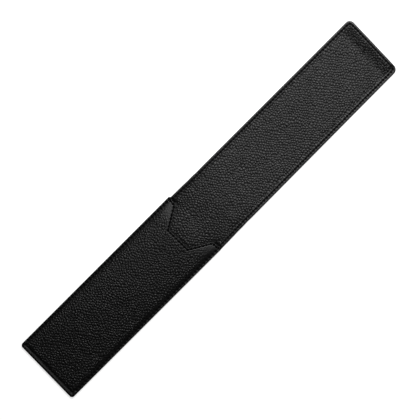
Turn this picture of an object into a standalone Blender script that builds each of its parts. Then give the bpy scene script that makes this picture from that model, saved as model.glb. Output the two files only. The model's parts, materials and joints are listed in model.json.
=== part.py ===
"""Leather pen sleeve lying open: a puffed pocket with a notched mouth and a long tuck-in flap.

Frame: +Y runs from the pocket's closed end to the flap's tip, +X to the right and +Z up from
the surface that the sleeve lies on. The origin is the centre of the outline on that surface.
The flap folds at two creases, a pen's thickness apart: hinges about X, on the lining's face.
"""

import math

import bmesh
import bpy
from mathutils import Matrix, Vector

# Outline, in metres
TOTAL_LENGTH = 0.3123
POCKET_WIDTH = 0.0500
NECK_WIDTH = 0.0484
FLAP_TIP_WIDTH = 0.0470
POCKET_LENGTH = 0.1423  # closed end to wing tips
NOTCH_DEPTH = 0.0152
WING_INNER_HALF = 0.0175  # where the notch's slant starts
NOTCH_FLAT_HALF = 0.0086  # where the notch's slant ends
CLOSED_END_RADIUS = 0.0022
FLAP_TIP_RADIUS = 0.0037
SQUARE_RADIUS = 0.0003
WING_TO_CREASE = 0.0155  # wing tips to the lower crease
CREASE_LENGTH = 0.0095  # lower crease to upper crease
SLIT = 0.0003  # gap between the pieces on either side of a crease

# Leather, board and thread
COVER_THICKNESS = 0.0009
LINING_THICKNESS = 0.0007
BOARD_THICKNESS = 0.0005
FRONT_COVER_THICKNESS = 0.0008
FRONT_LINING_THICKNESS = 0.0005
GLUE_LINE = 0.0001
FRONT_GAP = 0.0002
THREAD_RADIUS = 0.00018
GROOVE_RADIUS = 0.00038
STITCH_HIGH = 0.00016
STITCH_LOW = -0.00008

# Seams: inset from the edge and stitch pitch
SIDE_SEAM_INSET = 0.0020
SIDE_SEAM_PITCH = 0.0028
SIDE_SEAM_START = 0.0060  # above the closed end
MOUTH_SEAM_INSET = 0.0021
MOUTH_SEAM_PITCH = 0.0027
FLAP_SEAM_INSET = 0.0021
FLAP_SEAM_PITCH = 0.0025
SEAM_END = 0.0014  # a seam stops this far from a cut edge

# Boards: inset of each board and the lining's step over it
FLAP_BOARD_INSET = 0.0051
BACK_BOARD_INSET = 0.0075
BACK_BOARD_START = 0.0240  # above the closed end
BOARD_CLEARANCE = 0.0003
STEP_RUN = 0.0012

# Puffed front
RIM_WIDTH = 0.0026
END_BEAD = 0.0032
PUFF_HEIGHT = 0.0070
PUFF_FLATNESS = 4  # a higher power keeps the top flatter across
PUFF_ROUNDNESS = 1.2
PUFF_PEAK_Y = -0.0500
PUFF_MOUTH_REACH = 0.0580
FRONT_ROWS = 20

CORNER_STEPS = 5

# Positions worked out from the sizes above
CLOSED_END_Y = -TOTAL_LENGTH / 2
FLAP_TIP_Y = TOTAL_LENGTH / 2
WING_Y = CLOSED_END_Y + POCKET_LENGTH
NOTCH_Y = WING_Y - NOTCH_DEPTH
LOWER_CREASE_Y = WING_Y + WING_TO_CREASE
UPPER_CREASE_Y = LOWER_CREASE_Y + CREASE_LENGTH
LINING_BASE_Z = COVER_THICKNESS + GLUE_LINE
LINING_TOP_Z = LINING_BASE_Z + LINING_THICKNESS
BOARD_TOP_Z = LINING_BASE_Z + BOARD_THICKNESS
RAISED_BASE_Z = BOARD_TOP_Z + GLUE_LINE
RAISED_TOP_Z = RAISED_BASE_Z + LINING_THICKNESS
FRONT_LINING_TOP_Z = LINING_TOP_Z + GLUE_LINE + FRONT_LINING_THICKNESS
FRONT_RIM_Z = FRONT_LINING_TOP_Z + FRONT_GAP + FRONT_COVER_THICKNESS
NOTCH_TURN = math.atan2(NOTCH_DEPTH, WING_INNER_HALF - NOTCH_FLAT_HALF)

BLACK_GRAIN = (0.018, 0.018, 0.019)
BLACK_LINING = (0.022, 0.022, 0.023)
BLACK_THREAD = (0.012, 0.012, 0.012)
GREY_BOARD = (0.16, 0.15, 0.14)


def clear_scene():
    for old in list(bpy.data.objects):
        bpy.data.objects.remove(old)


def new_collection(name):
    made = bpy.data.collections.new(name)
    bpy.context.scene.collection.children.link(made)
    return made


def new_material(name, colour, roughness):
    material = bpy.data.materials.new(name)
    material.use_nodes = True
    shader = material.node_tree.nodes["Principled BSDF"]
    shader.inputs["Base Color"].default_value = (*colour, 1.0)
    shader.inputs["Roughness"].default_value = roughness
    shader.inputs["Metallic"].default_value = 0.0
    return material


# Outlines


def corner_arc(before, corner, after, radius):
    """Points of the arc that rounds one corner of an outline."""
    to_before = (before - corner).normalized()
    to_after = (after - corner).normalized()
    half_angle = to_before.angle(to_after) / 2
    bisector = (to_before + to_after).normalized()
    centre = corner + bisector * (radius / math.sin(half_angle))
    reach = radius / math.tan(half_angle)
    first = corner + to_before * reach - centre
    last = corner + to_after * reach - centre
    shares = [step / CORNER_STEPS for step in range(CORNER_STEPS + 1)]
    return [centre + first.slerp(last, share).normalized() * radius for share in shares]


def rounded_outline(corners):
    """Closed outline at height 0 from (x, y, radius) corners, the same point count each time."""
    places = [Vector((x, y, 0.0)) for x, y, _ in corners]
    points = []
    for index, (_, _, radius) in enumerate(corners):
        before = places[index - 1]
        after = places[(index + 1) % len(places)]
        points += corner_arc(before, places[index], after, radius)
    return points


def mirrored(right_corners):
    """Whole outline, anticlockwise, from its right-hand corners listed from low to high Y."""
    left = [(-x, y, radius) for x, y, radius in reversed(right_corners)]
    return rounded_outline(right_corners + left)


def inner_radius(radius, inset):
    return max(radius - inset, SQUARE_RADIUS)


def back_outline(inset, end_inset):
    """Back panel with the neck, drawn in from its sides and crease by inset."""
    low = CLOSED_END_Y + end_inset
    high = LOWER_CREASE_Y - SLIT / 2 - inset
    shoulder = (POCKET_WIDTH - NECK_WIDTH) / 2
    wide = POCKET_WIDTH / 2 - inset
    narrow = NECK_WIDTH / 2 - inset
    return mirrored([
        (wide, low, inner_radius(CLOSED_END_RADIUS, inset)),
        (wide, WING_Y, SQUARE_RADIUS),
        (narrow, WING_Y + shoulder, SQUARE_RADIUS),
        (narrow, high, SQUARE_RADIUS),
    ])


def flap_outline(inset):
    """Flap, drawn in by inset on all sides."""
    low = UPPER_CREASE_Y + SLIT / 2 + inset
    high = FLAP_TIP_Y - inset
    return mirrored([
        (NECK_WIDTH / 2 - inset, low, SQUARE_RADIUS),
        (FLAP_TIP_WIDTH / 2 - inset, high, inner_radius(FLAP_TIP_RADIUS, inset)),
    ])


def crease_outline():
    """The strip between the two creases."""
    low = LOWER_CREASE_Y + SLIT / 2
    high = UPPER_CREASE_Y - SLIT / 2
    half = NECK_WIDTH / 2
    return mirrored([(half, low, SQUARE_RADIUS), (half, high, SQUARE_RADIUS)])


# Bodies


def finish_object(name, data, material, collection):
    made = bpy.data.objects.new(name, data)
    data.materials.append(material)
    collection.objects.link(made)
    return made


def loft(name, rings, material, collection):
    """Closed body through (outline, height) rings, with the first and last ring capped."""
    bm = bmesh.new()
    loops = [[bm.verts.new((p.x, p.y, height)) for p in outline] for outline, height in rings]
    for lower, upper in zip(loops, loops[1:]):
        for index in range(len(lower)):
            bm.faces.new((lower[index - 1], lower[index], upper[index], upper[index - 1]))
    bm.faces.new(loops[0])
    bm.faces.new(loops[-1])
    bmesh.ops.recalc_face_normals(bm, faces=bm.faces[:])
    mesh = bpy.data.meshes.new(name)
    bm.to_mesh(mesh)
    bm.free()
    return finish_object(name, mesh, material, collection)


def plate(name, outline, low, high, material, collection):
    """Flat layer of one thickness."""
    return loft(name, [(outline, low), (outline, high)], material, collection)


def stepped_lining(name, outline_at, board_inset, material, collection):
    """Lining that is flat at its margin and steps up over the board under it."""
    recess = outline_at(board_inset - BOARD_CLEARANCE)
    step_top = outline_at(board_inset)
    step_foot = outline_at(board_inset - STEP_RUN)
    edge = outline_at(0.0)
    rings = [
        (recess, RAISED_BASE_Z),
        (recess, LINING_BASE_Z),
        (edge, LINING_BASE_Z),
        (edge, LINING_TOP_Z),
        (step_foot, LINING_TOP_Z),
        (step_top, RAISED_TOP_Z),
    ]
    return loft(name, rings, material, collection)


# Puffed front


def puff(x, y):
    """Height of the front's outer face over its rim."""
    across = min(abs(x) / (POCKET_WIDTH / 2 - RIM_WIDTH), 1.0)
    if y > PUFF_PEAK_Y:
        along = (y - PUFF_PEAK_Y) / PUFF_MOUTH_REACH
    else:
        along = min((PUFF_PEAK_Y - y) / (PUFF_PEAK_Y - CLOSED_END_Y - END_BEAD), 1.0)
    return PUFF_HEIGHT * (1 - along**2) * (1 - across**PUFF_FLATNESS) ** PUFF_ROUNDNESS


def front_point(x, y):
    return Vector((x, y, FRONT_RIM_Z + puff(x, y)))


def front_normal(x, y):
    span = 0.0002
    along_x = front_point(x + span, y) - front_point(x - span, y)
    along_y = front_point(x, y + span) - front_point(x, y - span)
    return along_x.cross(along_y).normalized()


def mouth_corners(inset):
    """The right half of the mouth's line, drawn in by inset, from the middle outwards."""
    shift = inset * math.tan(NOTCH_TURN / 2)
    return (
        Vector((NOTCH_FLAT_HALF + shift, NOTCH_Y - inset, 0.0)),
        Vector((WING_INNER_HALF + shift, WING_Y - inset, 0.0)),
    )


def mouth_y(x):
    """Where the front's free edge lies at a distance x from the middle."""
    share = (abs(x) - NOTCH_FLAT_HALF) / (WING_INNER_HALF - NOTCH_FLAT_HALF)
    return NOTCH_Y + NOTCH_DEPTH * min(max(share, 0.0), 1.0)


def closed_end_y(x):
    """Where the closed end lies at a distance x from the middle, with its corner round."""
    past = max(abs(x) - (POCKET_WIDTH / 2 - CLOSED_END_RADIUS), 0.0)
    rise = CLOSED_END_RADIUS - math.sqrt(max(CLOSED_END_RADIUS**2 - past**2, 0.0))
    return CLOSED_END_Y + rise


def front_columns():
    """Distances of the front's mesh columns from the middle, on both sides."""
    half = POCKET_WIDTH / 2
    rim = half - RIM_WIDTH
    corner = half - CLOSED_END_RADIUS
    inner = [NOTCH_FLAT_HALF * share for share in (0.0, 0.34, 0.67, 1.0)]
    slant = [NOTCH_FLAT_HALF + (WING_INNER_HALF - NOTCH_FLAT_HALF) * share for share in (0.34, 0.67, 1.0)]
    shoulder = [WING_INNER_HALF + (rim - WING_INNER_HALF) * share for share in (0.4, 0.75, 1.0)]
    turns = [math.radians(30.0 * step) for step in range(4)]
    edge = [corner + CLOSED_END_RADIUS * math.sin(turn) for turn in turns]
    right = inner + slant + shoulder + edge
    return [-x for x in reversed(right[1:])] + right


def front_surface(name):
    """The front's outer face as an open grid, fitted to its outline and its puffed height."""
    columns = front_columns()
    bm = bmesh.new()
    bmesh.ops.create_grid(bm, x_segments=len(columns) - 1, y_segments=FRONT_ROWS, size=0.5)
    for vert in bm.verts:
        x = columns[round((vert.co.x + 0.5) * (len(columns) - 1))]
        share = vert.co.y + 0.5
        low = closed_end_y(x)
        y = low + (mouth_y(x) - low) * share
        vert.co = front_point(x, y)
    mesh = bpy.data.meshes.new(name)
    bm.to_mesh(mesh)
    bm.free()
    return mesh


def front_layer(name, top, thickness, material, collection):
    """A layer of the front that starts at depth top under the outer face."""
    made = finish_object(name, front_surface(name), material, collection)
    shell = made.modifiers.new("Thickness", "SOLIDIFY")
    shell.thickness = thickness
    shell.offset = -1.0 - 2.0 * top / thickness
    shell.use_even_offset = True
    return made


# Seams


def resampled(path, step):
    """Points along a path at even spacing, as close to step as whole spaces allow."""
    lengths = [(b - a).length for a, b in zip(path, path[1:])]
    count = max(round(sum(lengths) / step), 1)
    points = []
    for index in range(count + 1):
        left = sum(lengths) * index / count
        piece = 0
        while piece < len(lengths) - 1 and left > lengths[piece]:
            left -= lengths[piece]
            piece += 1
        points.append(path[piece].lerp(path[piece + 1], min(left / lengths[piece], 1.0)))
    return points


def subdivided(path, step):
    """The path's own corners, with points between them no further apart than step."""
    points = [path[0]]
    for start, end in zip(path, path[1:]):
        count = math.ceil((end - start).length / step)
        points += [start.lerp(end, (index + 1) / count) for index in range(count)]
    return points


def poly_tube(name, points, radius):
    curve = bpy.data.curves.new(name, "CURVE")
    curve.dimensions = "3D"
    curve.bevel_depth = radius
    curve.bevel_resolution = 1
    curve.use_fill_caps = True
    spline = curve.splines.new("POLY")
    spline.points.add(len(points) - 1)
    for place, point in zip(spline.points, points):
        place.co = (*point, 1.0)
    return curve


def thread(name, path, pitch, place, material, collection):
    """One seam's thread: it rises and dips once a stitch over the face that place finds."""
    points = []
    for index, spot in enumerate(resampled(path, pitch / 2)):
        point, normal = place(spot)
        points.append(point + normal * (STITCH_HIGH if index % 2 else STITCH_LOW))
    return finish_object(name, poly_tube(name, points, THREAD_RADIUS), material, collection)


def cut_groove(target, name, path, step, place, cutters):
    """Cuts a stitching groove along a path into the face that place finds."""
    points = [place(spot)[0] for spot in subdivided(path, step)]
    curve = poly_tube(name, points, GROOVE_RADIUS)
    tube = bpy.data.objects.new(name, curve)
    cutters.objects.link(tube)
    depsgraph = bpy.context.evaluated_depsgraph_get()
    mesh = bpy.data.meshes.new_from_object(tube.evaluated_get(depsgraph))
    bpy.data.objects.remove(tube)
    bm = bmesh.new()
    bm.from_mesh(mesh)
    bmesh.ops.remove_doubles(bm, verts=bm.verts[:], dist=0.00001)
    bmesh.ops.recalc_face_normals(bm, faces=bm.faces[:])
    bm.to_mesh(mesh)
    bm.free()
    cutter = bpy.data.objects.new(name, mesh)
    cutter.hide_render = True
    cutter.display_type = "WIRE"
    cutters.objects.link(cutter)
    groove = target.modifiers.new(name, "BOOLEAN")
    groove.operation = "DIFFERENCE"
    groove.solver = "EXACT"
    groove.object = cutter


def on_front(spot):
    return front_point(spot.x, spot.y), front_normal(spot.x, spot.y)


def on_margin(spot):
    return Vector((spot.x, spot.y, LINING_TOP_Z)), Vector((0.0, 0.0, 1.0))


def side_seam_path(side):
    x = side * (POCKET_WIDTH / 2 - SIDE_SEAM_INSET)
    low = CLOSED_END_Y + SIDE_SEAM_START
    high = WING_Y - SEAM_END
    return [Vector((x, low, 0.0)), Vector((x, high, 0.0))]


def mouth_seam_path():
    """From one wing's side seam, down into the notch and up to the other wing."""
    notch, wing = mouth_corners(MOUTH_SEAM_INSET)
    start = Vector((POCKET_WIDTH / 2 - SIDE_SEAM_INSET - SEAM_END, wing.y, 0.0))
    right = [start, wing, notch]
    left = [Vector((-p.x, p.y, 0.0)) for p in reversed(right)]
    return right + left


def straight_seam_path(side, low, high):
    """Along one side of the neck or of the strip between the creases."""
    x = side * (NECK_WIDTH / 2 - FLAP_SEAM_INSET)
    return [Vector((x, low + SEAM_END, 0.0)), Vector((x, high - SEAM_END, 0.0))]


def flap_seam_path():
    """Along one side of the flap from the crease, round the tip and back."""
    low = UPPER_CREASE_Y + SEAM_END
    at_crease = NECK_WIDTH / 2 - FLAP_SEAM_INSET
    at_tip = FLAP_TIP_WIDTH / 2 - FLAP_SEAM_INSET
    high = FLAP_TIP_Y - FLAP_SEAM_INSET
    radius = FLAP_TIP_RADIUS - FLAP_SEAM_INSET
    start = Vector((at_crease, low, 0.0))
    corner = Vector((at_tip, high, 0.0))
    across = Vector((-at_tip, high, 0.0))
    right = [start] + corner_arc(start, corner, across, radius)
    left = [Vector((-p.x, p.y, 0.0)) for p in reversed(right)]
    return right + left


# Assembly


def crease_axes(collection):
    """Empties on the two crease lines: the upper one follows the lower one."""
    lower = bpy.data.objects.new("lower_crease_axis", None)
    upper = bpy.data.objects.new("upper_crease_axis", None)
    for axis in (lower, upper):
        axis.empty_display_size = CREASE_LENGTH
        collection.objects.link(axis)
    lower.location = (0.0, LOWER_CREASE_Y, LINING_TOP_Z)
    upper.parent = lower
    upper.location = (0.0, CREASE_LENGTH, 0.0)
    return lower, upper


def hang_on(made, axis, axis_y):
    """Gives a piece its origin on a crease line and makes it follow that crease."""
    made.data.transform(Matrix.Translation((0.0, -axis_y, -LINING_TOP_Z)))
    made.parent = axis


def build_pocket(materials, parts, cutters):
    cover, lining, board, twine = materials
    plate("pocket_back_cover", back_outline(0.0, 0.0), 0.0, COVER_THICKNESS, cover, parts)

    def lining_outline(inset):
        share = inset / BACK_BOARD_INSET
        return back_outline(inset, BACK_BOARD_START * share)

    back_lining = stepped_lining("pocket_back_lining", lining_outline, BACK_BOARD_INSET, lining, parts)
    board_outline = lining_outline(BACK_BOARD_INSET)
    plate("pocket_back_board", board_outline, LINING_BASE_Z, BOARD_TOP_Z, board, parts)

    front = front_layer("pocket_front_cover", 0.0, FRONT_COVER_THICKNESS, cover, parts)
    depth = FRONT_COVER_THICKNESS + FRONT_GAP
    front_layer("pocket_front_lining", depth, FRONT_LINING_THICKNESS, lining, parts)

    for side, label in ((-1, "left"), (1, "right")):
        path = side_seam_path(side)
        cut_groove(front, f"side_groove_{label}", path, TOTAL_LENGTH, on_front, cutters)
        name = f"side_seam_thread_{label}"
        thread(name, path, SIDE_SEAM_PITCH, on_front, twine, parts)
        path = straight_seam_path(side, WING_Y, LOWER_CREASE_Y)
        cut_groove(back_lining, f"neck_groove_{label}", path, TOTAL_LENGTH, on_margin, cutters)
        thread(f"neck_seam_thread_{label}", path, FLAP_SEAM_PITCH, on_margin, twine, parts)
    path = mouth_seam_path()
    cut_groove(front, "mouth_groove", path, MOUTH_SEAM_PITCH, on_front, cutters)
    thread("mouth_seam_thread", path, MOUTH_SEAM_PITCH, on_front, twine, parts)


def build_crease(materials, parts, cutters, axis):
    cover, lining, _, twine = materials
    outline = crease_outline()
    outer = plate("crease_cover", outline, 0.0, COVER_THICKNESS, cover, parts)
    inner = plate("crease_lining", outline, LINING_BASE_Z, LINING_TOP_Z, lining, parts)
    pieces = [outer, inner]
    for side, label in ((-1, "left"), (1, "right")):
        path = straight_seam_path(side, LOWER_CREASE_Y, UPPER_CREASE_Y)
        cut_groove(inner, f"crease_groove_{label}", path, TOTAL_LENGTH, on_margin, cutters)
        name = f"crease_seam_thread_{label}"
        pieces.append(thread(name, path, FLAP_SEAM_PITCH, on_margin, twine, parts))
    for piece in pieces:
        hang_on(piece, axis, LOWER_CREASE_Y)


def build_flap(materials, parts, cutters, axis):
    cover, lining, board, twine = materials
    outer = plate("flap_cover", flap_outline(0.0), 0.0, COVER_THICKNESS, cover, parts)
    inner = stepped_lining("flap_lining", flap_outline, FLAP_BOARD_INSET, lining, parts)
    board_outline = flap_outline(FLAP_BOARD_INSET)
    stiffener = plate("flap_board", board_outline, LINING_BASE_Z, BOARD_TOP_Z, board, parts)
    path = flap_seam_path()
    cut_groove(inner, "flap_groove", path, TOTAL_LENGTH, on_margin, cutters)
    seam = thread("flap_seam_thread", path, FLAP_SEAM_PITCH, on_margin, twine, parts)
    for piece in (outer, inner, stiffener, seam):
        hang_on(piece, axis, UPPER_CREASE_Y)


def main():
    clear_scene()
    parts = new_collection("fountain_pen_case")
    cutters = new_collection("cutters")
    materials = (
        new_material("grained_leather", BLACK_GRAIN, 0.5),
        new_material("lining_leather", BLACK_LINING, 0.55),
        new_material("stiffener_board", GREY_BOARD, 0.9),
        new_material("seam_thread", BLACK_THREAD, 0.6),
    )
    lower_axis, upper_axis = crease_axes(parts)
    build_pocket(materials, parts, cutters)
    build_crease(materials, parts, cutters, lower_axis)
    build_flap(materials, parts, cutters, upper_axis)


main()
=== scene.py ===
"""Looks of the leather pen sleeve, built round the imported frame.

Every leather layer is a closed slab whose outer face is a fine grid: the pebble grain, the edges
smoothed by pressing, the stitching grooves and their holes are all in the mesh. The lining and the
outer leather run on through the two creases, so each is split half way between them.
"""

import json
import math

import bpy
import numpy as np
from mathutils import Matrix, Vector


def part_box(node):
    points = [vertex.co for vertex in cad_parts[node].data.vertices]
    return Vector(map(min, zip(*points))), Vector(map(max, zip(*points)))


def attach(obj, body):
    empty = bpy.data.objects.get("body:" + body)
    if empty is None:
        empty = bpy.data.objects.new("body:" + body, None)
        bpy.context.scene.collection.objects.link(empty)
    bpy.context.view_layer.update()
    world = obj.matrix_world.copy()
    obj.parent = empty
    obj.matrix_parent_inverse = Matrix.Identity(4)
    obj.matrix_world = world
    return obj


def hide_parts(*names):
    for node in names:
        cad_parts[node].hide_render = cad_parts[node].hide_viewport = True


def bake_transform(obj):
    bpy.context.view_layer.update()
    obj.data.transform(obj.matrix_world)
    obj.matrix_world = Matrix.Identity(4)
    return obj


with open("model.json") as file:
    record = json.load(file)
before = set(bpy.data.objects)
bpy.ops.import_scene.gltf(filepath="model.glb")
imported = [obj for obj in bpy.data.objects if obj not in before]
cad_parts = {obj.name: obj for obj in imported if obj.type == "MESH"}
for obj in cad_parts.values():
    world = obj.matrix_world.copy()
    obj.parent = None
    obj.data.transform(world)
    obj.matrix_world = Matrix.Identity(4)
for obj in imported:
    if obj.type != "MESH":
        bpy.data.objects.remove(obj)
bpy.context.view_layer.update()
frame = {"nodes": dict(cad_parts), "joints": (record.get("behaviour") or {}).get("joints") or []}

MM = 0.001
MOUTH_SHORT = 0.6 * MM  # how far the front's free edge lies behind the CAD's

# Places read from the frame
POCKET_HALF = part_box("pocket_back_cover")[1].x
NECK_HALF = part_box("crease_cover")[1].x
CLOSED_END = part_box("pocket_back_cover")[0].y
WING_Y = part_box("pocket_front_cover")[1].y - MOUTH_SHORT
TIP_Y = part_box("flap_cover")[1].y
COVER_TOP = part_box("crease_cover")[1].z
LINING_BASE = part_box("crease_lining")[0].z
LINING_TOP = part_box("crease_lining")[1].z
RAISED_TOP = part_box("flap_lining")[1].z
BOARD_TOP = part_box("pocket_back_board")[1].z
CREASES = {joint["name"]: joint["pos_m"][1] for joint in frame["joints"]}
LOWER_CREASE = CREASES["lower_crease_fold"]
UPPER_CREASE = CREASES["upper_crease_fold"]
SPLIT_Y = (LOWER_CREASE + UPPER_CREASE) / 2

# Outline, as in the CAD but for the slightly wider tip
TIP_HALF = 23.62 * MM
TIP_RADIUS = 3.7 * MM
END_RADIUS = 2.2 * MM
NOTCH_Y = WING_Y - 15.2 * MM
NOTCH_FLAT = 8.6 * MM
WING_INNER = 17.5 * MM
RIM_TOP = 3.3 * MM
END_BEAD = 3.2 * MM

# Form of the empty sleeve, which lies flatter than the CAD's
EDGE_STEP = 0.55 * MM
DOME_HEIGHT = 1.7 * MM
STEP_START = 2.0 * MM
STEP_END = 5.0 * MM
DOME_PEAK_Y = -50 * MM
DOME_REACH = 58 * MM
CURL_DROP = 1.15  # over 1, so the wing tips curl down a little past the step's foot
CURL_REACH = 16 * MM
SPRING_HEIGHT = 0.8 * MM
SPRING_START = WING_Y - 2 * MM
SPRING_END = UPPER_CREASE + 55 * MM
SHOULDER_RUN = 0.9 * MM
NECK_LEAN = 0.45 * MM
TIP_SKEW = 0.029
END_SKEW = 0.015

# The lining's face: a pad over the board, a dip at the mouth, a band at the tip
PAD_START = 3.6 * MM
PAD_END = 7.4 * MM
MOUTH_DIPS = ((0.5, 3.2), (0.2, 1.0))  # (depth, reach) of each, in mm
BAND_HEIGHT = 0.50 * MM
BAND_FULL = 3.2 * MM
BAND_GONE = 9.5 * MM
BAND_WANDER = 0.7 * MM
TIP_DIP = 0.06 * MM
TIP_DIP_PLACE = 7.2 * MM
CREASE_ZONE = 7.5 * MM
CREASE_DIP = 0.05 * MM
WRINKLE_LENGTH = 2.6 * MM
VISIBLE_FROM = WING_Y - 20 * MM  # the front hides the back lining below here
FINE_FROM = WING_Y - 46 * MM

# The front's inside, which lies well within the front
INSIDE_NARROWING = 0.94
INSIDE_START = CLOSED_END + 1.6 * MM
INSIDE_SHORT = 1.4 * MM
INSIDE_BELOW = 0.86 * MM
INSIDE_THICKNESS = 0.3 * MM

# Beads and valleys along the edges: (height, inset, half width) of each, in mm
LINING_BEADS = ((0.08, 1.00, 0.50), (0.08, 3.00, 0.42), (-0.05, 4.10, 0.60))
SIDE_BEADS = ((0.06, 0.90, 0.45),)
END_BEADS = ((0.16, 1.50, 0.40), (-0.45, 2.70, 0.50))
MOUTH_BEADS = ((0.04, 0.60, 0.30),)

# Pebble grain
GRAIN_PITCH = 1.75 * MM
GRAIN_HEIGHT = 0.32 * MM
GRAIN_MEAN = 0.75  # the grain's height that lies level with the face
GRAIN_CELLS = 64  # the pebbles' scatter repeats after this many
PEBBLE_SCATTER = 0.7  # share of the pitch over which a pebble's middle may lie
CROWN_LEAST = 0.72
CROWN_SPAN = 0.45
CROWN_FLATNESS = 2.4
SLOPE_WIDTH = 0.8 * GRAIN_PITCH
GRAIN_COS = 0.78  # the grain's rows lie about 39 degrees off the sleeve's length
GRAIN_SIN = 0.624
GRAIN_WANDER = 0.4 * GRAIN_PITCH
WANDER_LENGTH = 7 * GRAIN_PITCH
CREASED_GAIN = 0.9  # how much deeper the grain is where the leather is creased

# Mesh steps: the seen leather, the underside and the hidden leather
FINE = 0.28 * MM
PLAIN = 0.45 * MM
HIDDEN = 1.2 * MM
EDGE_ZONE = 1.0 * MM  # the steps are shorter this near an edge
COARSE = 4  # an inner face has one step for this many of the outer face

# Leather layers
EDGE_ROUND = 0.42 * MM
LIP_ROUND = 0.35 * MM
COVER_ROUND = 0.4 * MM
EDGE_LIFT = 0.5 * MM
LINING_LEAST = 0.12 * MM  # least thickness of the lining, over the board too
LAYER_GAP = 0.02 * MM
FRONT_THICKNESS = 0.8 * MM
SHARP_ANGLE = math.radians(62)

# Stitching
THREAD_RADIUS = 0.21 * MM
SIDE_INSET = 1.75 * MM
SIDE_PITCH = 2.8 * MM
SIDE_START = 6.0 * MM
NECK_SEAM_START = WING_Y - 4 * MM  # just under the front's wings
MOUTH_INSET = 1.3 * MM
MOUTH_PITCH = 2.7 * MM
FLAP_INSET = 2.1 * MM
FLAP_PITCH = 2.5 * MM
RING_SIDES = 8
STITCH_STEPS = 8
GROOVE_WIDTH = 0.30 * MM
LINING_GROOVE = 0.16 * MM  # depth of the groove the flap's stitches lie in
SIDE_GROOVE = 0.12 * MM
MOUTH_GROOVE = 0.22 * MM
HOLE_RADIUS = 0.55 * MM
HOLE_DEPTH = 0.7 * MM
HOLE_REACH = 1.2 * MM
STITCH_SINK = 0.55 * MM  # how far the thread lies under the face at a hole
STITCH_RISE = 0.62 * MM  # how far it comes up from there in a stitch's middle

# Colours and finish
GLOSS = 0.40  # roughness of the pebbles' crowns
CREVICE_ROUGH = 0.52
# Painted shade: the colour laid in the crevices, needle holes, grooves, creases and under the mouth's
# edge
CREVICE_SHADE_COLOUR = (0.0008, 0.0008, 0.0008)
OUTER_CROWN = (0.004, 0.004, 0.0041)
# Painted highlight: the lighter colour of the outer leather's smoothed edges and the front's wings
OUTER_PRESSED_HIGHLIGHT = (0.007, 0.007, 0.0071)
OUTER_SHINE = 0.38
LINING_CROWN = (0.007, 0.007, 0.0071)
# Painted highlight: the lighter colour of the lining's smoothed edges
LINING_PRESSED_HIGHLIGHT = (0.009, 0.009, 0.0092)
LINING_SHINE = 0.50

# Stage, in metres and watts
KEY_PLACE = Vector((-0.32, 0.60, 1.25))
KEY_AIM = Vector((0.03, 0.12, 0))
KEY_SIDE = 0.4
KEY_POWER = 0.64
KEY_SPREAD = math.radians(37)
FLOOR_HALF = 3.0
FLOOR_DROP = 0.05 * MM
FLOOR_GLOW = 0.8
HORIZON_TOP = 0.32  # sine of the elevation where the light has faded to SKY_LIGHT
HORIZON_LIGHT = 0.20
SKY_LIGHT = 0.008
PICTURE_UP = Vector((-1.0, 1.0, 0.0)).normalized()
PICTURE_RIGHT = Vector((1.0, 1.0, 0.0)).normalized()
PICTURE_WIDTH = 0.2835  # width of ground in the picture
AIM = Vector((0.934, -1.026, 0)) * MM


# Small functions on arrays


def smoothstep(low, high, value):
    share = np.clip((value - low) / (high - low), 0.0, 1.0)
    return share * share * (3 - 2 * share)


def bump(distance, centre, width):
    return np.exp(-(((distance - centre) / width) ** 2))


def beads(inset, section):
    """Height of a row of beads, each given as (height, inset, half width) in mm."""
    return sum(high * MM * bump(inset, centre * MM, width * MM) for high, centre, width in section)


def fading(distance, reach):
    """1 up to the start, then falling toward 0 over about that reach."""
    return np.exp(-np.maximum(distance, 0) / reach)


def rounding(inset, radius):
    """How far a rounded edge of that radius lies below its flat."""
    corner = np.clip(radius - inset, 0.0, radius)
    return radius - np.sqrt(radius**2 - corner**2)


def waves(x, y, length, seed):
    """Soft undulation from -1 to 1, with waves of about that length."""
    random = np.random.default_rng(seed)
    total = np.zeros_like(x)
    for _ in range(7):
        angle = random.uniform(0, math.pi)
        turn = 2 * math.pi / (length * random.uniform(0.7, 1.6))
        total += np.sin((x * math.cos(angle) + y * math.sin(angle)) * turn + random.uniform(0, 6.28))
    return total / 4.5


def pebbles(x, y, seed):
    """Pebble grain from 0 in the crevices to 1 on the pebbles' crowns."""
    random = np.random.default_rng(seed)
    jitter = random.random((GRAIN_CELLS, GRAIN_CELLS, 3))
    margin = (1 - PEBBLE_SCATTER) / 2
    x, y = GRAIN_COS * x + GRAIN_SIN * y, GRAIN_COS * y - GRAIN_SIN * x
    x = x + waves(x, y, WANDER_LENGTH, seed + 1) * GRAIN_WANDER
    y = y + waves(x, y, WANDER_LENGTH, seed + 2) * GRAIN_WANDER
    column = np.floor(x / GRAIN_PITCH).astype(int)
    row = np.floor(y / GRAIN_PITCH).astype(int)
    first = np.full(x.shape, np.inf)
    second = np.full(x.shape, np.inf)
    crown = np.ones(x.shape)
    for across in (-2, -1, 0, 1):
        for along in (-1, 0, 1):
            spot = jitter[(column + across) % GRAIN_CELLS, (row + along) % GRAIN_CELLS]
            shift = 0.5 * ((row + along) % 2)
            spot_x = column + across + shift + margin + PEBBLE_SCATTER * spot[..., 0]
            spot_y = row + along + margin + PEBBLE_SCATTER * spot[..., 1]
            distance = np.hypot(x - spot_x * GRAIN_PITCH, y - spot_y * GRAIN_PITCH)
            nearer = distance < first
            second = np.where(nearer, first, np.minimum(second, distance))
            crown = np.where(nearer, CROWN_LEAST + CROWN_SPAN * spot[..., 2], crown)
            first = np.where(nearer, distance, first)
    from_crevice = np.clip((second - first) / SLOPE_WIDTH, 0.0, 1.0)
    return (1 - (1 - from_crevice) ** CROWN_FLATNESS) * crown


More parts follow.
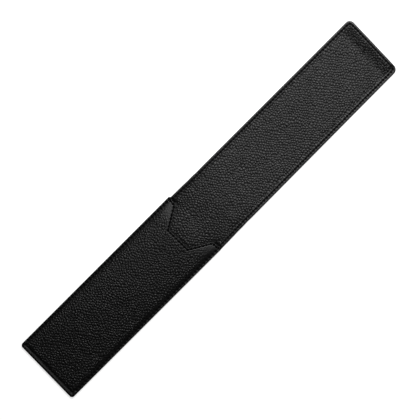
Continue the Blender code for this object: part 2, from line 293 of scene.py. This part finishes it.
def spaced(low, high, pitch, fine_low=True, fine_high=True):
    """Places from low to high, pitch apart and closer near the ends, in a multiple of COARSE steps."""
    place = np.linspace(low, high, 6001)
    near = np.full_like(place, np.inf)
    if fine_low:
        near = np.minimum(near, place - low)
    if fine_high:
        near = np.minimum(near, high - place)
    density = 1 / (pitch * np.clip(0.12 + near / EDGE_ZONE, 0.12, 1.0))
    total = np.concatenate([[0.0], np.cumsum((density[1:] + density[:-1]) / 2 * np.diff(place))])
    count = math.ceil(total[-1] / COARSE) * COARSE
    return np.interp(np.linspace(0, total[-1], count + 1), total, place)


def even(low, high, pitch):
    """Evenly spaced places from low to high, in a multiple of COARSE steps."""
    count = math.ceil((high - low) / pitch / COARSE) * COARSE
    return np.linspace(low, high, count + 1)


# Outlines


def flap_half(y):
    """Half width of the neck and the flap, with a small pinch at each crease."""
    places = (WING_Y, UPPER_CREASE, TIP_Y)
    taper = np.interp(y, places, (NECK_HALF + 0.25 * MM, NECK_HALF - 0.15 * MM, TIP_HALF))
    pinch = bump(y, LOWER_CREASE, 2.2 * MM) + bump(y, UPPER_CREASE, 2.2 * MM)
    return taper - 0.10 * MM * pinch


def back_half(y):
    """Half width of the back panel: the pocket, its shoulder and the neck."""
    return POCKET_HALF + (flap_half(y) - POCKET_HALF) * smoothstep(WING_Y, WING_Y + SHOULDER_RUN, y)


def rounded_half(y, half, end, radius):
    """Half width with the outline's corners rounded at the end that lies at y = end."""
    past = np.clip(radius - np.abs(end - y), 0.0, radius)
    return half - radius + np.sqrt(radius**2 - past**2)


def back_outline(y):
    return rounded_half(y, back_half(y), CLOSED_END, END_RADIUS)


def flap_outline(y):
    return rounded_half(y, flap_half(y), TIP_Y, TIP_RADIUS)


def edge_distance(x, y, half, end, radius):
    """Distance inside the outline's sides and its one rounded end."""
    to_side = half - np.abs(x)
    to_end = np.abs(end - y)
    corner = radius - np.hypot(radius - to_side, radius - to_end)
    in_corner = (to_side < radius) & (to_end < radius)
    return np.where(in_corner, corner, np.minimum(to_side, to_end))


def mouth_line(x):
    """The front's free edge over x."""
    share = np.clip((np.abs(x) - NOTCH_FLAT) / (WING_INNER - NOTCH_FLAT), 0.0, 1.0)
    return NOTCH_Y + (WING_Y - NOTCH_Y) * share


def mouth_distance(x, y):
    """Distance inside the mouth's edge: its two flats and the slant between them."""
    run, rise = WING_INNER - NOTCH_FLAT, WING_Y - NOTCH_Y
    length = math.hypot(run, rise)
    slant = ((np.abs(x) - NOTCH_FLAT) * rise - (y - NOTCH_Y) * run) / length
    below_wing = WING_Y - y
    below_notch = NOTCH_Y - y
    return np.minimum(below_wing, np.maximum(slant, below_notch))


def front_form(x, y, inset):
    """The front's outer face without its small shapes: a step inside the seam and a low dome."""
    across = np.minimum(np.abs(x) / (POCKET_HALF - FLAP_INSET), 1.0)
    to_mouth = (y - DOME_PEAK_Y) / DOME_REACH
    to_end = (DOME_PEAK_Y - y) / (DOME_PEAK_Y - CLOSED_END - END_BEAD)
    along = np.clip(np.where(y > DOME_PEAK_Y, to_mouth, to_end), 0.0, 1.0)
    curl = 1 - CURL_DROP * np.clip((y - WING_Y) / CURL_REACH + 1, 0.0, 1.0) ** 2
    step = EDGE_STEP * smoothstep(STEP_START, STEP_END, inset)
    dome = DOME_HEIGHT * (1 - along**2) * (1 - across**2)
    return RIM_TOP + (step + dome) * curl


def settled(points):
    """Gives the straight sleeve its small slants and lifts it a little round the creases."""
    x, y, z = points[..., 0], points[..., 1], points[..., 2]
    lift = smoothstep(SPRING_START, SPLIT_Y, y) * (1 - smoothstep(SPLIT_Y, SPRING_END, y))
    lean = smoothstep(WING_Y, WING_Y + SHOULDER_RUN, y) * np.clip((TIP_Y - y) / (TIP_Y - WING_Y), 0, 1)
    at_tip = smoothstep(TIP_Y - 30 * MM, TIP_Y, y)
    at_end = 1 - smoothstep(CLOSED_END, CLOSED_END + 25 * MM, y)
    moved_y = y - x * (TIP_SKEW * at_tip + END_SKEW * at_end)
    return np.stack([x + NECK_LEAN * lean, moved_y, z + SPRING_HEIGHT * lift], -1)


# Seams: each is a path, resampled to whole stitches


def corner_arc(centre, radius, first_angle, last_angle):
    angles = np.radians(np.linspace(first_angle, last_angle, 7))
    return [(centre[0] + radius * math.cos(a), centre[1] + radius * math.sin(a)) for a in angles]


def stitch_ends(path, pitch):
    """Evenly spaced holes along a path, pitch apart as nearly as whole stitches allow."""
    path = np.array(path, float)
    along = np.concatenate([[0.0], np.cumsum(np.hypot(*np.diff(path, axis=0).T))])
    count = max(round(along[-1] / pitch), 1)
    wanted = np.linspace(0, along[-1], count + 1)
    return np.stack([np.interp(wanted, along, path[:, k]) for k in (0, 1)], 1)


def side_seam(side):
    x = side * (POCKET_HALF - SIDE_INSET)
    return [(x, CLOSED_END + SIDE_START), (x, WING_Y - SHOULDER_RUN)]


def mouth_seam():
    turn = math.atan2(WING_Y - NOTCH_Y, WING_INNER - NOTCH_FLAT)
    shift = MOUTH_INSET * math.tan(turn / 2)
    right = [
        (POCKET_HALF - SIDE_INSET - 1.2 * MM, WING_Y - MOUTH_INSET),
        (WING_INNER + shift, WING_Y - MOUTH_INSET),
        (NOTCH_FLAT + shift, NOTCH_Y - MOUTH_INSET),
    ]
    return right + [(-x, y) for x, y in reversed(right)]


def flap_side_seam(side, low, high):
    """Follows one edge of the neck or the flap."""
    y = np.linspace(low, high, 40)
    return list(zip(side * (flap_half(y) - FLAP_INSET), y))


def flap_seam():
    radius = TIP_RADIUS - FLAP_INSET
    x, y = TIP_HALF - TIP_RADIUS, TIP_Y - TIP_RADIUS
    right = flap_side_seam(1, SPLIT_Y, y - 1 * MM)
    right += corner_arc((x, y), radius, 0, 90)
    return right + [(-px, py) for px, py in reversed(right)]


SEAMS = {
    "side_seam_left": stitch_ends(side_seam(-1), SIDE_PITCH),
    "side_seam_right": stitch_ends(side_seam(1), SIDE_PITCH),
    "mouth_seam": stitch_ends(mouth_seam(), MOUTH_PITCH),
    "neck_seam_left": stitch_ends(flap_side_seam(-1, NECK_SEAM_START, SPLIT_Y), FLAP_PITCH),
    "neck_seam_right": stitch_ends(flap_side_seam(1, NECK_SEAM_START, SPLIT_Y), FLAP_PITCH),
    "flap_seam": stitch_ends(flap_seam(), FLAP_PITCH),
}


def holes(x, y, names):
    """Depth share of the needle holes of the named seams, 1 at a hole's middle."""
    depth = np.zeros_like(x)
    for name in names:
        for hole_x, hole_y in SEAMS[name]:
            near = (np.abs(x - hole_x) < HOLE_REACH) & (np.abs(y - hole_y) < HOLE_REACH)
            reach = np.hypot(x[near] - hole_x, y[near] - hole_y)
            depth[near] = np.maximum(depth[near], bump(reach, 0.0, HOLE_RADIUS))
    return depth


# Faces: height and smoothness over (x, y)


def tip_form(x, y, side, from_tip):
    """The flap's end: a band a little higher than the body, with a wrinkled dip behind it."""
    wander = waves(x, y * 0.2, 13 * MM, seed=5) * BAND_WANDER
    band = 1 - smoothstep(BAND_FULL, BAND_GONE, from_tip + wander)
    dip = bump(from_tip, TIP_DIP_PLACE - wander, 0.9 * MM)
    inside = smoothstep(2.5 * MM, 6.0 * MM, side)
    return inside * (BAND_HEIGHT * band - TIP_DIP * dip)


def lining_height(x, y, half, end, radius):
    """The lining's face on the neck and the flap, without its grain."""
    inset = edge_distance(x, y, half, end, radius)
    side = half - np.abs(x)
    edge_top = LINING_TOP + EDGE_LIFT * smoothstep(WING_Y, WING_Y + 2 * MM, y)
    raised = smoothstep(PAD_START, PAD_END, side)
    height = edge_top + (RAISED_TOP - edge_top) * raised
    height += beads(inset, LINING_BEADS) - rounding(inset, EDGE_ROUND)
    height -= LINING_GROOVE * bump(inset, FLAP_INSET, GROOVE_WIDTH)
    if end > 0:
        height += tip_form(x, y, side, np.abs(end - y))
    from_mouth = -mouth_distance(x, y)
    dip = sum(depth * MM * fading(from_mouth, reach * MM) for depth, reach in MOUTH_DIPS)
    height -= dip * smoothstep(2 * MM, 5 * MM, side)
    at_creases = bump(y, SPLIT_Y, CREASE_ZONE)
    margin = 1 - smoothstep(3.0 * MM, 8.0 * MM, side)
    wrinkles = waves(x * 0.25, y, WRINKLE_LENGTH, seed=9)
    height -= at_creases * (0.10 * margin + (0.02 + 0.07 * margin) * wrinkles) * MM
    height -= CREASE_DIP * (bump(y, LOWER_CREASE, 1.3 * MM) + bump(y, UPPER_CREASE, 1.3 * MM))
    height += 0.05 * MM * waves(x, y, 30 * MM, seed=3) * raised
    return height, inset


def front_height(x, y):
    """The front cover's face without its grain, with its insets from the outline and the mouth."""
    inset = edge_distance(x, y, POCKET_HALF, CLOSED_END, END_RADIUS)
    to_mouth = mouth_distance(x, y)
    height = front_form(x, y, inset) - rounding(inset, EDGE_ROUND) - rounding(to_mouth, LIP_ROUND)
    at_end = 1 - smoothstep(3.0 * MM, 7.0 * MM, y - CLOSED_END)
    height += beads(inset, SIDE_BEADS) + at_end * beads(inset, END_BEADS) + beads(to_mouth, MOUTH_BEADS)
    height -= SIDE_GROOVE * (1 - at_end) * bump(inset, SIDE_INSET, GROOVE_WIDTH)
    height -= MOUTH_GROOVE * bump(to_mouth, MOUTH_INSET, GROOVE_WIDTH)
    height += 0.08 * MM * waves(x, y, 34 * MM, seed=21) * smoothstep(3 * MM, 9 * MM, inset)
    return height, inset, to_mouth


# Slabs


def placed(name, data):
    """A new object with that data, in the scene."""
    made = bpy.data.objects.new(name, data)
    bpy.context.scene.collection.objects.link(made)
    return made


def quads(points):
    """Faces of a grid of point numbers."""
    corners = (points[:-1, :-1], points[:-1, 1:], points[1:, 1:], points[1:, :-1])
    return np.stack(corners, -1).reshape(-1, 4)


def border(points):
    """The point numbers round a grid, in order."""
    sides = (points[0, :-1], points[:-1, -1], points[-1, :0:-1], points[:0:-1, 0])
    return np.concatenate(sides).tolist()


def edge_walls(fine, coarse):
    """Walls between the borders of two grids, one for each step of the coarse border."""
    fine_ring, coarse_ring = border(fine), border(coarse)
    walls = []
    for index, low in enumerate(coarse_ring):
        first = index * COARSE
        top = [fine_ring[(first + step) % len(fine_ring)] for step in range(COARSE + 1)]
        walls.append([low, coarse_ring[(index + 1) % len(coarse_ring)]] + top[::-1])
    return walls


def slab(name, outer, inner, facing_up, shares):
    """Closed body with a fine outer face and a coarse inner face, joined by walls."""
    outer_count = outer.shape[0] * outer.shape[1]
    inner_count = inner.shape[0] * inner.shape[1]
    fine = np.arange(outer_count).reshape(outer.shape[:2])
    coarse = outer_count + np.arange(inner_count).reshape(inner.shape[:2])
    faces = quads(fine).tolist() + quads(coarse)[:, ::-1].tolist() + edge_walls(fine, coarse)
    if not facing_up:
        faces = [face[::-1] for face in faces]
    points = settled(np.concatenate([outer.reshape(-1, 3), inner.reshape(-1, 3)]))
    mesh = bpy.data.meshes.new(name)
    mesh.from_pydata(points.tolist(), [], faces)
    for label, values in shares.items():
        stored = np.full(len(points), 1.0 if label == "pressed_and_highlight" else 0.0, np.float32)
        stored[:outer_count] = values.ravel()
        mesh.attributes.new(label, "FLOAT", "POINT").data.foreach_set("value", stored)
    mesh.shade_smooth()
    mesh.set_sharp_from_angle(angle=SHARP_ANGLE)
    mesh.validate()
    return placed(name, mesh)


def grid(y, half_of, pitch):
    """(x, y) arrays whose columns follow the outline given by half_of(y)."""
    widest = float(np.max(half_of(y)))
    share = spaced(-widest, widest, pitch) / widest
    return share[None, :] * half_of(y)[:, None], np.repeat(y[:, None], len(share), 1)


def thin(values):
    return values[::COARSE, ::COARSE]


def as_points(x, y, z):
    return np.stack([x, y, np.broadcast_to(z, x.shape)], -1)


def grained(x, y, smooth, seed):
    """Grain height and a share of the crevices, which darkens the colour there as painted shade; both
    fade out where the leather is smoothed by pressing.
    """
    grain = pebbles(x, y, seed)
    lift = (grain - GRAIN_MEAN) * GRAIN_HEIGHT * (1 - smooth)
    crevice_and_shade = np.clip(1.12 - grain * 1.2, 0.0, 1.0) * (1 - smooth)
    return lift, crevice_and_shade


def darker(first, second):
    """Two shares laid over each other."""
    return 1 - (1 - first) * (1 - second)


def crease_and_shade(y, side, inset, end):
    """Share of the leather in the crease's margins and behind the flap's tip, where the grain is deeper
    and the colour is darkened as painted shade.
    """
    margin = (1 - smoothstep(3.5 * MM, 8.0 * MM, side)) * smoothstep(1.6 * MM, 2.2 * MM, inset)
    folded = 0.6 * margin * bump(y, SPLIT_Y - 1 * MM, 7.0 * MM)
    if end < 0:
        return folded
    from_tip = end - y
    at_tip = smoothstep(2.6 * MM, 4.5 * MM, from_tip) * (1 - smoothstep(6.5 * MM, 12.0 * MM, from_tip))
    return np.maximum(folded, at_tip)


def lining_slab(name, y, half_of, end, radius, seams):
    """The lining, grained side up. Under the front, where it is hidden, it is flattened.
    Its colour holds painted shade in the crevices, needle holes, stitching groove and creases, behind
    the tip and under the mouth's edge, and a painted highlight on its smoothed edges.
    """
    x, y = grid(y, half_of, FINE)
    half = back_half(y) if end < 0 else flap_half(y)
    side = half - np.abs(x)
    height, inset = lining_height(x, y, half, end, radius)
    hidden = 1 - smoothstep(VISIBLE_FROM - 8 * MM, VISIBLE_FROM, y)
    under = LINING_TOP - 0.1 * MM + (RAISED_TOP - LINING_TOP) * smoothstep(6.2 * MM, 7.5 * MM, inset)
    height = height * (1 - hidden) + under * hidden
    smooth = 1 - smoothstep(2.5 * MM, 4.2 * MM, inset)
    lift, crevice_and_shade = grained(x, y, smooth, seed=40)
    hole = holes(x, y, seams)
    creased_and_shaded = crease_and_shade(y, side, inset, end)
    height += lift * (1 - 0.5 * hidden + CREASED_GAIN * creased_and_shaded) - 0.6 * HOLE_DEPTH * hole
    over_board = smoothstep(5.0 * MM, 6.5 * MM, side)
    least = LINING_BASE + LINING_LEAST + (BOARD_TOP - LINING_BASE) * over_board
    # painted shadow on the lining just inside the mouth's edge
    mouth_shadow = 0.85 * fading(-mouth_distance(x, y), 1.6 * MM)
    # painted shade in the needle holes and the stitching groove, in the creases, behind the tip and
    # under the mouth's edge
    dark = np.clip(hole + 0.3 * bump(inset, FLAP_INSET, 0.32 * MM), 0, 1)
    dark = darker(dark, 0.7 * np.maximum(creased_and_shaded, mouth_shadow))
    shares = {"pressed_and_highlight": smooth, "crevice_and_shade": darker(crevice_and_shade, dark)}
    outer = as_points(x, y, np.maximum(height, least))
    inner = as_points(thin(x), thin(y), LINING_BASE + LAYER_GAP)
    return slab(name, outer, inner, True, shares)


def cover_slab(name, y, half_of, end, radius):
    """The outer leather of the back or the flap, grained side down on the ground."""
    x, y = grid(y, half_of, PLAIN)
    inset = edge_distance(x, y, half_of(y), end, radius)
    groove = 0.22 * bump(inset, FLAP_INSET, 0.4 * MM) * MM
    smooth = 1 - smoothstep(2.4 * MM, 3.6 * MM, inset)
    lift, crevice_and_shade = grained(x, y, smooth, seed=55)
    height = np.maximum(rounding(inset, COVER_ROUND) + groove + 0.06 * MM - lift, 0.0)
    # the share darkens the colour in the grain's crevices as painted shade
    shares = {"pressed_and_highlight": smooth, "crevice_and_shade": crevice_and_shade}
    outer = as_points(x, y, height)
    inner = as_points(thin(x), thin(y), COVER_TOP)
    return slab(name, outer, inner, False, shares)


def front_columns(pitch):
    """Columns over the front with a column on each of the mouth's corners."""
    flat = even(0, NOTCH_FLAT, pitch)
    slant = even(NOTCH_FLAT, WING_INNER, pitch)
    wing = spaced(WING_INNER, POCKET_HALF, pitch, fine_low=False)
    right = np.concatenate([flat[:-1], slant[:-1], wing])
    return np.concatenate([-right[:0:-1], right])


def front_grid(pitch):
    """(x, y) over the front: even rows in the pocket, then rows that lead up to the mouth's line."""
    columns = front_columns(pitch)
    turning = CLOSED_END + rounded_start(columns)
    settle = CLOSED_END + 12 * MM
    level = NOTCH_Y - 14 * MM
    start = spaced(0.0, 1.0, pitch / (settle - CLOSED_END), fine_high=False)
    middle = even(settle, level, pitch)
    finish = 1 - (1 - even(0.0, 1.0, pitch / (WING_Y - level))) ** 1.25
    low = turning[None, :] + (settle - turning)[None, :] * start[:, None]
    mid = np.repeat(middle[1:, None], len(columns), 1)
    high = level + (mouth_line(columns) - level)[None, :] * finish[1:, None]
    y = np.concatenate([low, mid, high])
    return np.repeat(columns[None, :], len(y), 0), y


def rounded_start(x):
    """How far the closed end's rounded corners lie above its straight edge."""
    past = np.clip(np.abs(x) - (POCKET_HALF - END_RADIUS), 0.0, END_RADIUS)
    return END_RADIUS - np.sqrt(END_RADIUS**2 - past**2)


def front_shade(y, inset, to_mouth, hole):
    """Share of painted shade in the needle holes, the grooves, along the mouth's edge and over the
    closed end's rim and valley.
    """
    at_end = 1 - smoothstep(3.0 * MM, 6.0 * MM, y - CLOSED_END)
    # painted shade in the mouth's stitching groove, along the mouth's edge and in the side grooves
    groove = 0.5 * bump(to_mouth, MOUTH_INSET, 0.3 * MM) + 0.8 * bump(to_mouth, 0.0, 0.3 * MM)
    groove += 0.15 * (1 - at_end) * bump(inset, SIDE_INSET, 0.3 * MM)
    # painted shade over the closed end's rim, its bead and its valley
    end_shade = 0.5 * (1 - smoothstep(3.0 * MM, 4.0 * MM, inset)) + 0.5 * bump(inset, 0.5 * MM, 0.4 * MM)
    end_shade += bump(inset, 2.8 * MM, 0.6 * MM)
    return np.clip(hole + groove + at_end * end_shade, 0, 1)


def front_cover():
    """The pocket's front, grained side up, smoothed by stretching toward the wing tips, where its
    colour is lighter as a painted highlight.
    """
    x, y = front_grid(FINE)
    height, inset, to_mouth = front_height(x, y)
    smooth = 1 - smoothstep(2.3 * MM, 3.6 * MM, np.minimum(inset, to_mouth))
    # the wings lose their grain, and their colour turns lighter as a painted highlight
    stretched_and_highlight = 0.9 * smoothstep(NOTCH_Y - 3 * MM, WING_Y - 4 * MM, y)
    smooth = np.maximum(smooth, stretched_and_highlight)
    lift, crevice_and_shade = grained(x, y, smooth, seed=77)
    hole = holes(x, y, ("side_seam_left", "side_seam_right", "mouth_seam"))
    height += lift - HOLE_DEPTH * hole
    shares = {"pressed_and_highlight": smooth, "crevice_and_shade": darker(crevice_and_shade, front_shade(y, inset, to_mouth, hole))}
    outer = as_points(x, y, height)
    low_x, low_y = thin(x), thin(y)
    base, low_inset, _ = front_height(low_x, low_y)
    depth = FRONT_THICKNESS + 0.6 * MM * (1 - smoothstep(0.2 * MM, 1.6 * MM, low_inset))
    inner = as_points(low_x, low_y, base - depth)
    return slab("pocket_front", outer, inner, True, shares)


def front_lining():
    """The smooth leather inside the pocket's front, seen through the mouth."""
    x, y = front_grid(HIDDEN)
    along = (y - CLOSED_END) / (mouth_line(x) - CLOSED_END)
    x = x * INSIDE_NARROWING
    y = INSIDE_START + along * (mouth_line(x) - INSIDE_SHORT - INSIDE_START)
    top = front_form(x, y, POCKET_HALF - np.abs(x)) - INSIDE_BELOW
    outer = as_points(x, y, top - INSIDE_THICKNESS)
    inner = as_points(thin(x), thin(y), thin(top))
    shares = {"pressed_and_highlight": np.ones_like(x), "crevice_and_shade": np.zeros_like(x)}
    return slab("pocket_front_inside", outer, inner, False, shares)


# Threads


def stitched_line(ends, surface):
    """A thread's line: each stitch comes out of its hole, lies on the groove and goes back in."""
    count = len(ends) - 1
    share = np.linspace(0, count, count * STITCH_STEPS + 1)
    x = np.interp(share, range(count + 1), ends[:, 0])
    y = np.interp(share, range(count + 1), ends[:, 1])
    out = np.abs(np.sin(share * math.pi)) ** 0.55
    z = surface(x, y) + STITCH_RISE * out - STITCH_SINK
    return settled(np.stack([x, y, z], 1))


def thread(name, ends, surface):
    """One seam's thread, a round tube along its line."""
    line = stitched_line(ends, surface)
    along = np.gradient(line, axis=0)
    along /= np.linalg.norm(along, axis=1)[:, None]
    side = np.cross(along, (0.0, 0.0, 1.0))
    side /= np.linalg.norm(side, axis=1)[:, None]
    over = np.cross(side, along)
    angles = np.linspace(0, 2 * math.pi, RING_SIDES, endpoint=False)
    ring = np.cos(angles)[None, :, None] * side[:, None] + np.sin(angles)[None, :, None] * over[:, None]
    points = (line[:, None] + THREAD_RADIUS * ring).reshape(-1, 3)
    index = np.arange(len(points)).reshape(len(line), RING_SIDES)
    nxt = np.roll(index, -1, 1)
    walls = np.stack((index[:-1], nxt[:-1], nxt[1:], index[1:]), -1).reshape(-1, 4).tolist()
    faces = walls + [index[0][::-1].tolist(), index[-1].tolist()]
    mesh = bpy.data.meshes.new(name)
    mesh.from_pydata(points.tolist(), [], faces)
    mesh.shade_smooth()
    return placed(name, mesh)


def flap_surface(x, y):
    return lining_height(x, y, flap_half(y), TIP_Y, TIP_RADIUS)[0]


def neck_surface(x, y):
    return lining_height(x, y, back_half(y), CLOSED_END, END_RADIUS)[0]


def front_surface(x, y):
    return front_height(x, y)[0]


# Materials


class Nodes:
    """Short calls for building one material's node tree."""

    def __init__(self, name):
        self.material = bpy.data.materials.new(name)
        self.material.use_nodes = True
        self.tree = self.material.node_tree
        self.shader = self.tree.nodes["Principled BSDF"]

    def add(self, kind, **values):
        node = self.tree.nodes.new(kind)
        for key, value in values.items():
            if key in node.inputs:
                node.inputs[key].default_value = value
            else:
                setattr(node, key, value)
        return node

    def link(self, source, target):
        self.tree.links.new(source, target)

    def share(self, name):
        return self.add("ShaderNodeAttribute", attribute_name=name).outputs["Fac"]

    def noise(self, scale, detail=2.0):
        node = self.add("ShaderNodeTexNoise", Scale=scale, Detail=detail)
        self.link(self.place, node.inputs["Vector"])
        return node.outputs["Fac"]

    @property
    def place(self):
        if not hasattr(self, "_place"):
            self._place = self.add("ShaderNodeTexCoord").outputs["Object"]
        return self._place

    def mix_colour(self, share, low, high):
        node = self.add("ShaderNodeMix", data_type="RGBA")
        self.link(share, node.inputs[0])
        for socket, colour in ((node.inputs[6], low), (node.inputs[7], high)):
            if isinstance(colour, tuple):
                socket.default_value = (*colour, 1.0)
            else:
                self.link(colour, socket)
        return node.outputs[2]

    def between(self, share, low, high):
        node = self.add("ShaderNodeMapRange")
        self.link(share, node.inputs["Value"])
        for name, value in (("To Min", low), ("To Max", high)):
            if isinstance(value, float):
                node.inputs[name].default_value = value
            else:
                self.link(value, node.inputs[name])
        return node.outputs["Result"]

    def bump(self, height, strength, distance):
        node = self.add("ShaderNodeBump", Strength=strength, Distance=distance)
        self.link(height, node.inputs["Height"])
        self.link(node.outputs["Normal"], self.shader.inputs["Normal"])


def leather(name, crown, highlight_colour, shine):
    """Black leather: shinier on the pebbles' crowns and on edges smoothed by pressing, dull in the
    crevices.
    Its colour is lighter on the smoothed edges as a painted highlight, and darker in the crevices,
    needle holes, grooves, creases and under the mouth's edge as painted shade.
    """
    nodes = Nodes(name)
    crevice_shade = nodes.share("crevice_and_shade")
    pressed_and_highlight = nodes.share("pressed_and_highlight")
    drift = nodes.noise(60.0)
    worn = nodes.mix_colour(drift, crown, tuple(1.35 * c for c in crown))
    # painted highlight: lighter colour on the smoothed edges and the wings
    highlighted = nodes.mix_colour(pressed_and_highlight, worn, highlight_colour)
    # painted shade: the colour goes dark in crevices, holes, grooves, creases and under the mouth's
    # edge
    colour = nodes.mix_colour(crevice_shade, highlighted, CREVICE_SHADE_COLOUR)
    nodes.link(colour, nodes.shader.inputs["Base Color"])
    fine = nodes.noise(2600.0, 3.0)
    crown_rough = nodes.between(fine, GLOSS - 0.05, GLOSS + 0.07)
    grained_rough = nodes.between(crevice_shade, crown_rough, CREVICE_ROUGH)
    pressed_rough = nodes.between(pressed_and_highlight, grained_rough, GLOSS + 0.03)
    nodes.link(pressed_rough, nodes.shader.inputs["Roughness"])
    nodes.shader.inputs["Specular IOR Level"].default_value = shine
    nodes.bump(fine, 0.25, 0.06 * MM)
    return nodes.material


def waxed_thread():
    """Black waxed thread with its strands twisted round it."""
    nodes = Nodes("waxed_thread")
    strands = nodes.add("ShaderNodeTexWave", Scale=1400.0, Distortion=1.5)
    nodes.link(nodes.place, strands.inputs["Vector"])
    colour = nodes.mix_colour(strands.outputs["Fac"], (0.004, 0.004, 0.004), (0.012, 0.012, 0.013))
    nodes.link(colour, nodes.shader.inputs["Base Color"])
    nodes.link(nodes.between(strands.outputs["Fac"], 0.62, 0.48), nodes.shader.inputs["Roughness"])
    nodes.shader.inputs["Specular IOR Level"].default_value = 0.15
    nodes.bump(strands.outputs["Fac"], 0.4, 0.08 * MM)
    return nodes.material


def fibre_board():
    """Raw grey board, pressed from fibres."""
    nodes = Nodes("fibre_board")
    fibres = nodes.noise(900.0, 4.0)
    colour = nodes.mix_colour(fibres, (0.12, 0.11, 0.10), (0.20, 0.19, 0.17))
    nodes.link(colour, nodes.shader.inputs["Base Color"])
    nodes.shader.inputs["Roughness"].default_value = 0.9
    nodes.bump(fibres, 0.3, 0.1 * MM)
    return nodes.material


def dress(piece, material):
    piece.data.materials.clear()
    piece.data.materials.append(material)


# The sleeve


def crease_blend(piece):
    """Bakes a piece's placement into its mesh."""
    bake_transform(piece)


def build_linings(material):
    low_rows = spaced(CLOSED_END, FINE_FROM, HIDDEN, fine_high=False)
    high_rows = spaced(FINE_FROM, SPLIT_Y, FINE, fine_low=False, fine_high=False)
    rows = np.concatenate([low_rows[:-1], high_rows])
    seams = ("neck_seam_left", "neck_seam_right")
    end = (CLOSED_END, END_RADIUS)
    back = lining_slab("back_lining", rows, back_outline, *end, seams)
    dress(back, material)
    crease_blend(back)
    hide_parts("pocket_back_lining")
    rows = spaced(SPLIT_Y, TIP_Y, FINE, fine_low=False)
    end = (TIP_Y, TIP_RADIUS)
    inside = lining_slab("flap_inside", rows, flap_outline, *end, ("flap_seam",))
    dress(inside, material)
    crease_blend(inside)
    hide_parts("flap_lining", "crease_lining")


def build_covers(material):
    rows = spaced(CLOSED_END, SPLIT_Y, PLAIN, fine_high=False)
    back = cover_slab("back_leather", rows, back_outline, CLOSED_END, END_RADIUS)
    dress(back, material)
    crease_blend(back)
    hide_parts("pocket_back_cover")
    rows = spaced(SPLIT_Y, TIP_Y, PLAIN, fine_low=False)
    outside = cover_slab("flap_outside", rows, flap_outline, TIP_Y, TIP_RADIUS)
    dress(outside, material)
    crease_blend(outside)
    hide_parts("flap_cover", "crease_cover")


def build_front(outer_material, inner_material):
    front = front_cover()
    dress(front, outer_material)
    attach(front, "pocket")
    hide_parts("pocket_front_cover")
    inside = front_lining()
    dress(inside, inner_material)
    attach(inside, "pocket")
    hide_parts("pocket_front_lining")


def sewn(name, seam, surface, material):
    made = thread(name, SEAMS[seam], surface)
    dress(made, material)
    return made


def build_threads(material):
    for label in ("left", "right"):
        side = sewn(f"side_thread_{label}", f"side_seam_{label}", front_surface, material)
        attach(side, "pocket")
        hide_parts(f"side_seam_thread_{label}")
        neck = sewn(f"neck_thread_{label}", f"neck_seam_{label}", neck_surface, material)
        crease_blend(neck)
        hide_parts(f"neck_seam_thread_{label}", f"crease_seam_thread_{label}")
    mouth = sewn("mouth_thread", "mouth_seam", front_surface, material)
    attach(mouth, "pocket")
    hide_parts("mouth_seam_thread")
    flap = sewn("flap_thread", "flap_seam", flap_surface, material)
    crease_blend(flap)
    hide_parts("flap_seam_thread")


# Stage


def build_camera():
    """Long lens straight above, with the sleeve running from lower left to upper right."""
    data = bpy.data.cameras.new("camera")
    data.lens = 150.0
    data.sensor_width = 36.0
    camera = placed("camera", data)
    distance = PICTURE_WIDTH / 2 / (data.sensor_width / 2 / data.lens)
    axes = Matrix((PICTURE_RIGHT, PICTURE_UP, Vector((0, 0, 1)))).transposed()
    camera.matrix_world = Matrix.Translation(AIM + Vector((0, 0, distance))) @ axes.to_4x4()
    bpy.context.scene.camera = camera


def build_floor():
    """White, glowing ground, a hair below the sleeve."""
    mesh = bpy.data.meshes.new("floor")
    signs = ((-1, -1), (1, -1), (1, 1), (-1, 1))
    corners = [(x * FLOOR_HALF, y * FLOOR_HALF, -FLOOR_DROP) for x, y in signs]
    mesh.from_pydata(corners, [], [(0, 1, 2, 3)])
    floor = placed("floor", mesh)
    nodes = Nodes("white_floor")
    nodes.shader.inputs["Base Color"].default_value = (0.92, 0.92, 0.92, 1.0)
    nodes.shader.inputs["Roughness"].default_value = 0.9
    nodes.shader.inputs["Specular IOR Level"].default_value = 0.1
    nodes.shader.inputs["Emission Color"].default_value = (1.0, 1.0, 1.0, 1.0)
    nodes.shader.inputs["Emission Strength"].default_value = FLOOR_GLOW
    mesh.materials.append(nodes.material)


def build_key():
    """One soft light, high up, with a narrow spread."""
    data = bpy.data.lights.new("key", "AREA")
    data.spread = KEY_SPREAD
    data.shape = "RECTANGLE"
    data.size = KEY_SIDE
    data.size_y = KEY_SIDE
    data.energy = KEY_POWER
    light = placed("key", data)
    light.location = KEY_PLACE
    light.rotation_euler = (KEY_AIM - KEY_PLACE).to_track_quat("-Z", "Y").to_euler()


def build_world():
    """Dim surroundings, lighter near the horizon."""
    world = bpy.data.worlds.new("studio")
    world.use_nodes = True
    tree = world.node_tree
    background = tree.nodes["Background"]
    place = tree.nodes.new("ShaderNodeTexCoord").outputs["Generated"]
    parts = tree.nodes.new("ShaderNodeSeparateXYZ")
    fade = tree.nodes.new("ShaderNodeMapRange")
    fade.inputs["From Max"].default_value = HORIZON_TOP
    fade.inputs["To Min"].default_value = HORIZON_LIGHT
    fade.inputs["To Max"].default_value = SKY_LIGHT
    tree.links.new(place, parts.inputs[0])
    tree.links.new(parts.outputs["Z"], fade.inputs["Value"])
    tree.links.new(fade.outputs["Result"], background.inputs["Strength"])
    background.inputs["Color"].default_value = (1.0, 1.0, 1.0, 1.0)
    bpy.context.scene.world = world
    bpy.context.scene.view_settings.view_transform = "Standard"


build_camera()
grained_leather = leather("grained_leather", OUTER_CROWN, OUTER_PRESSED_HIGHLIGHT, OUTER_SHINE)
lining_leather = leather("lining_leather", LINING_CROWN, LINING_PRESSED_HIGHLIGHT, LINING_SHINE)
build_linings(lining_leather)
build_covers(grained_leather)
build_front(grained_leather, lining_leather)
build_threads(waxed_thread())
board = fibre_board()
for node in ("pocket_back_board", "flap_board"):
    dress(frame["nodes"][node], board)
build_floor()
build_key()
build_world()
